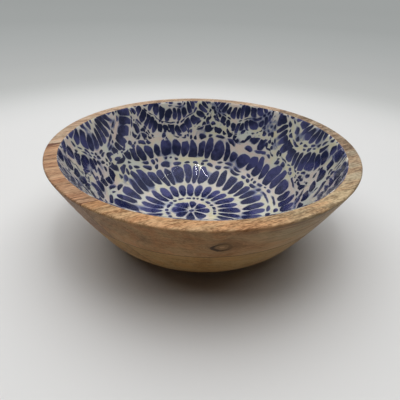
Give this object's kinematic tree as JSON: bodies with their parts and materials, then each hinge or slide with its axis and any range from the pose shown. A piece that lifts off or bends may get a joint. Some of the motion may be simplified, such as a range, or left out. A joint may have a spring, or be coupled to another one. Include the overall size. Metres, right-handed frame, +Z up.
{
  "type": "serving bowl",
  "caption": "Round wooden serving bowl turned from glued boards, with a flat rim, a flat foot and a printed lining under a clear glossy coat.",
  "frame": {"origin": "middle of the foot, on the plane that the bowl stands on", "axes": "+Z up along the bowl's axis, -Y towards the viewer of the picture, +X to the viewer's right"},
  "size_m": [0.3, 0.3, 0.1],
  "materials": {
    "hardwood_rose": "pinkish brown hardwood, sanded and lightly oiled, satin",
    "hardwood_honey": "honey-coloured hardwood, sanded and lightly oiled, satin",
    "hardwood_brown": "light brown hardwood, sanded and lightly oiled, satin",
    "cream_coat": "cream ground coat, matt",
    "printed_paper": "paper printed in dark blue on cream, in a tie-dye pattern of rings of petals, under a glossy coat",
    "clear_resin": "clear coat, high gloss, slightly uneven"
  },
  "bodies": {
    "root": {"rim_board_back": "hardwood_rose", "rim_board_left": "hardwood_honey", "rim_board_right": "hardwood_honey", "rim_board_front": "hardwood_honey", "wall_board_back": "hardwood_brown", "wall_board_left": "hardwood_brown", "wall_board_right": "hardwood_brown", "wall_board_front": "hardwood_brown", "base_board_back": "hardwood_brown", "base_board_middle": "hardwood_brown", "base_board_front": "hardwood_brown", "cream_ground": "cream_coat", "printed_sheet": "printed_paper", "clear_coat": "clear_resin"}
  },
  "joints": []
}
